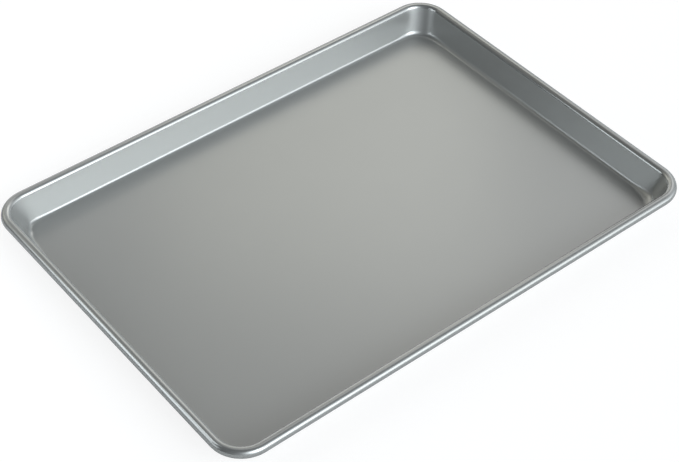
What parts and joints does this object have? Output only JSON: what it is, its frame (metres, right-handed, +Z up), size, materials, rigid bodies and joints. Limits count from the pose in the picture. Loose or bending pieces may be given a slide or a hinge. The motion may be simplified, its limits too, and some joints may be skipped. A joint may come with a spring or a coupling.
{
  "type": "jelly roll pan",
  "caption": "Shallow rectangular baking tray with sloping walls, rounded corners and a rim rolled around a stiffening wire, for sheet sponge, biscuits and roasting.",
  "frame": {"origin": "middle of the underside, in the plane that the pan stands on", "axes": "+X along the long side, +Y along the short side, +Z up out of the tray"},
  "size_m": [0.454, 0.3272, 0.026],
  "materials": {
    "coated_steel": "satin",
    "wire_steel": "satin"
  },
  "bodies": {
    "root": {"pan_shell": "coated_steel", "rim_wire": "wire_steel"}
  },
  "joints": []
}
